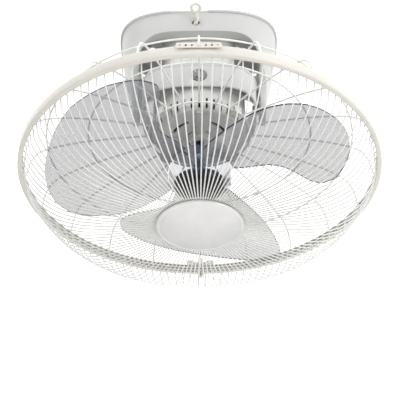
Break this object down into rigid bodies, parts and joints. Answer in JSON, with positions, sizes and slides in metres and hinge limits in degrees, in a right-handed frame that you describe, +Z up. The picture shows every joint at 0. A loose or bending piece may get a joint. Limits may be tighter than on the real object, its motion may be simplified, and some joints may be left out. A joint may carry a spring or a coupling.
{
  "type": "orbital ceiling fan",
  "caption": "Ceiling fan whose caged propeller hangs in a two-axis gimbal under an arched canopy, so a crank can swing its head round a cone.",
  "frame": {"origin": "centre of the canopy bracket's flat face on the ceiling", "axes": "+Z points up into the ceiling, -Y towards the room side with the cord loop and the band's joint plate, +X to the right seen from that side"},
  "size_m": [0.48, 0.4949, 0.323],
  "materials": {
    "ivory_plastic": "satin off-white moulding",
    "white_paint": "satin white paint",
    "wire_white": "white coated wire",
    "pearl": "pearly silver grey",
    "smoke_clear": "clear smoky tint",
    "navy": "polished dark blue",
    "steel": "plated",
    "dark_steel": "oiled",
    "lamination": "varnished sheet stack",
    "copper": "enamelled winding",
    "bronze": "sintered bush",
    "nylon": "natural",
    "black_plastic": "matte",
    "cord": "soft insulation"
  },
  "bodies": {
    "base": {"ceiling_bracket": "white_paint", "canopy_cover": "ivory_plastic", "ceiling_screw_left": "steel", "ceiling_screw_right": "steel", "pivot_pin_left": "steel", "pivot_pin_right": "steel", "terminal_block": "nylon", "run_capacitor": "black_plastic", "drive_hood": "white_paint", "orbit_socket": "nylon", "safety_cord": "cord"},
    "gimbal": {"gimbal_ring": "ivory_plastic", "ring_bush_left": "nylon", "ring_bush_right": "nylon", "head_pivot_front": "dark_steel", "head_pivot_rear": "dark_steel"},
    "head": {"motor_front_cover": "white_paint", "motor_rear_cover": "white_paint", "stator_core": "lamination", "stator_coil_front": "copper", "stator_coil_rear": "copper", "bearing_front": "bronze", "bearing_rear": "bronze", "orbit_motor": "steel", "rear_guard": "wire_white", "guard_clip_1": "nylon", "guard_clip_2": "nylon", "guard_clip_3": "nylon", "guard_clip_4": "nylon", "front_guard": "wire_white", "rim_band": "ivory_plastic", "band_joint": "ivory_plastic", "latch_base": "ivory_plastic", "latch_pin": "steel", "badge_cap": "pearl", "badge_backing": "steel", "badge_screw": "steel"},
    "rotor": {"rotor_core": "lamination", "motor_shaft": "dark_steel", "shaft_collar": "steel", "blade_set": "smoke_clear", "spinner_nut": "navy"},
    "crank": {"crank_disc": "nylon", "crank_ball": "steel"},
    "latch": {"rim_latch": "ivory_plastic"}
  },
  "joints": [
    {"name": "ring_tilt", "type": "hinge", "parent": "base", "child": "gimbal", "pos_m": [0, 0, -0.118], "axis": [1, 0, 0], "range_deg": [-15, 15]},
    {"name": "head_tilt", "type": "hinge", "parent": "gimbal", "child": "head", "pos_m": [0, 0, -0.118], "axis": [0, 1, 0], "range_deg": [-15, 15]},
    {"name": "blade_spin", "type": "hinge", "parent": "head", "child": "rotor", "pos_m": [0, 0, -0.2], "axis": [0, 0, 1], "continuous": true},
    {"name": "crank_turn", "type": "hinge", "parent": "head", "child": "crank", "pos_m": [0, 0, -0.0735], "axis": [0, 0, 1], "continuous": true},
    {"name": "latch_open", "type": "hinge", "parent": "head", "child": "latch", "pos_m": [0, 0.246, -0.221], "axis": [1, 0, 0], "range_deg": [0, 100]}
  ]
}
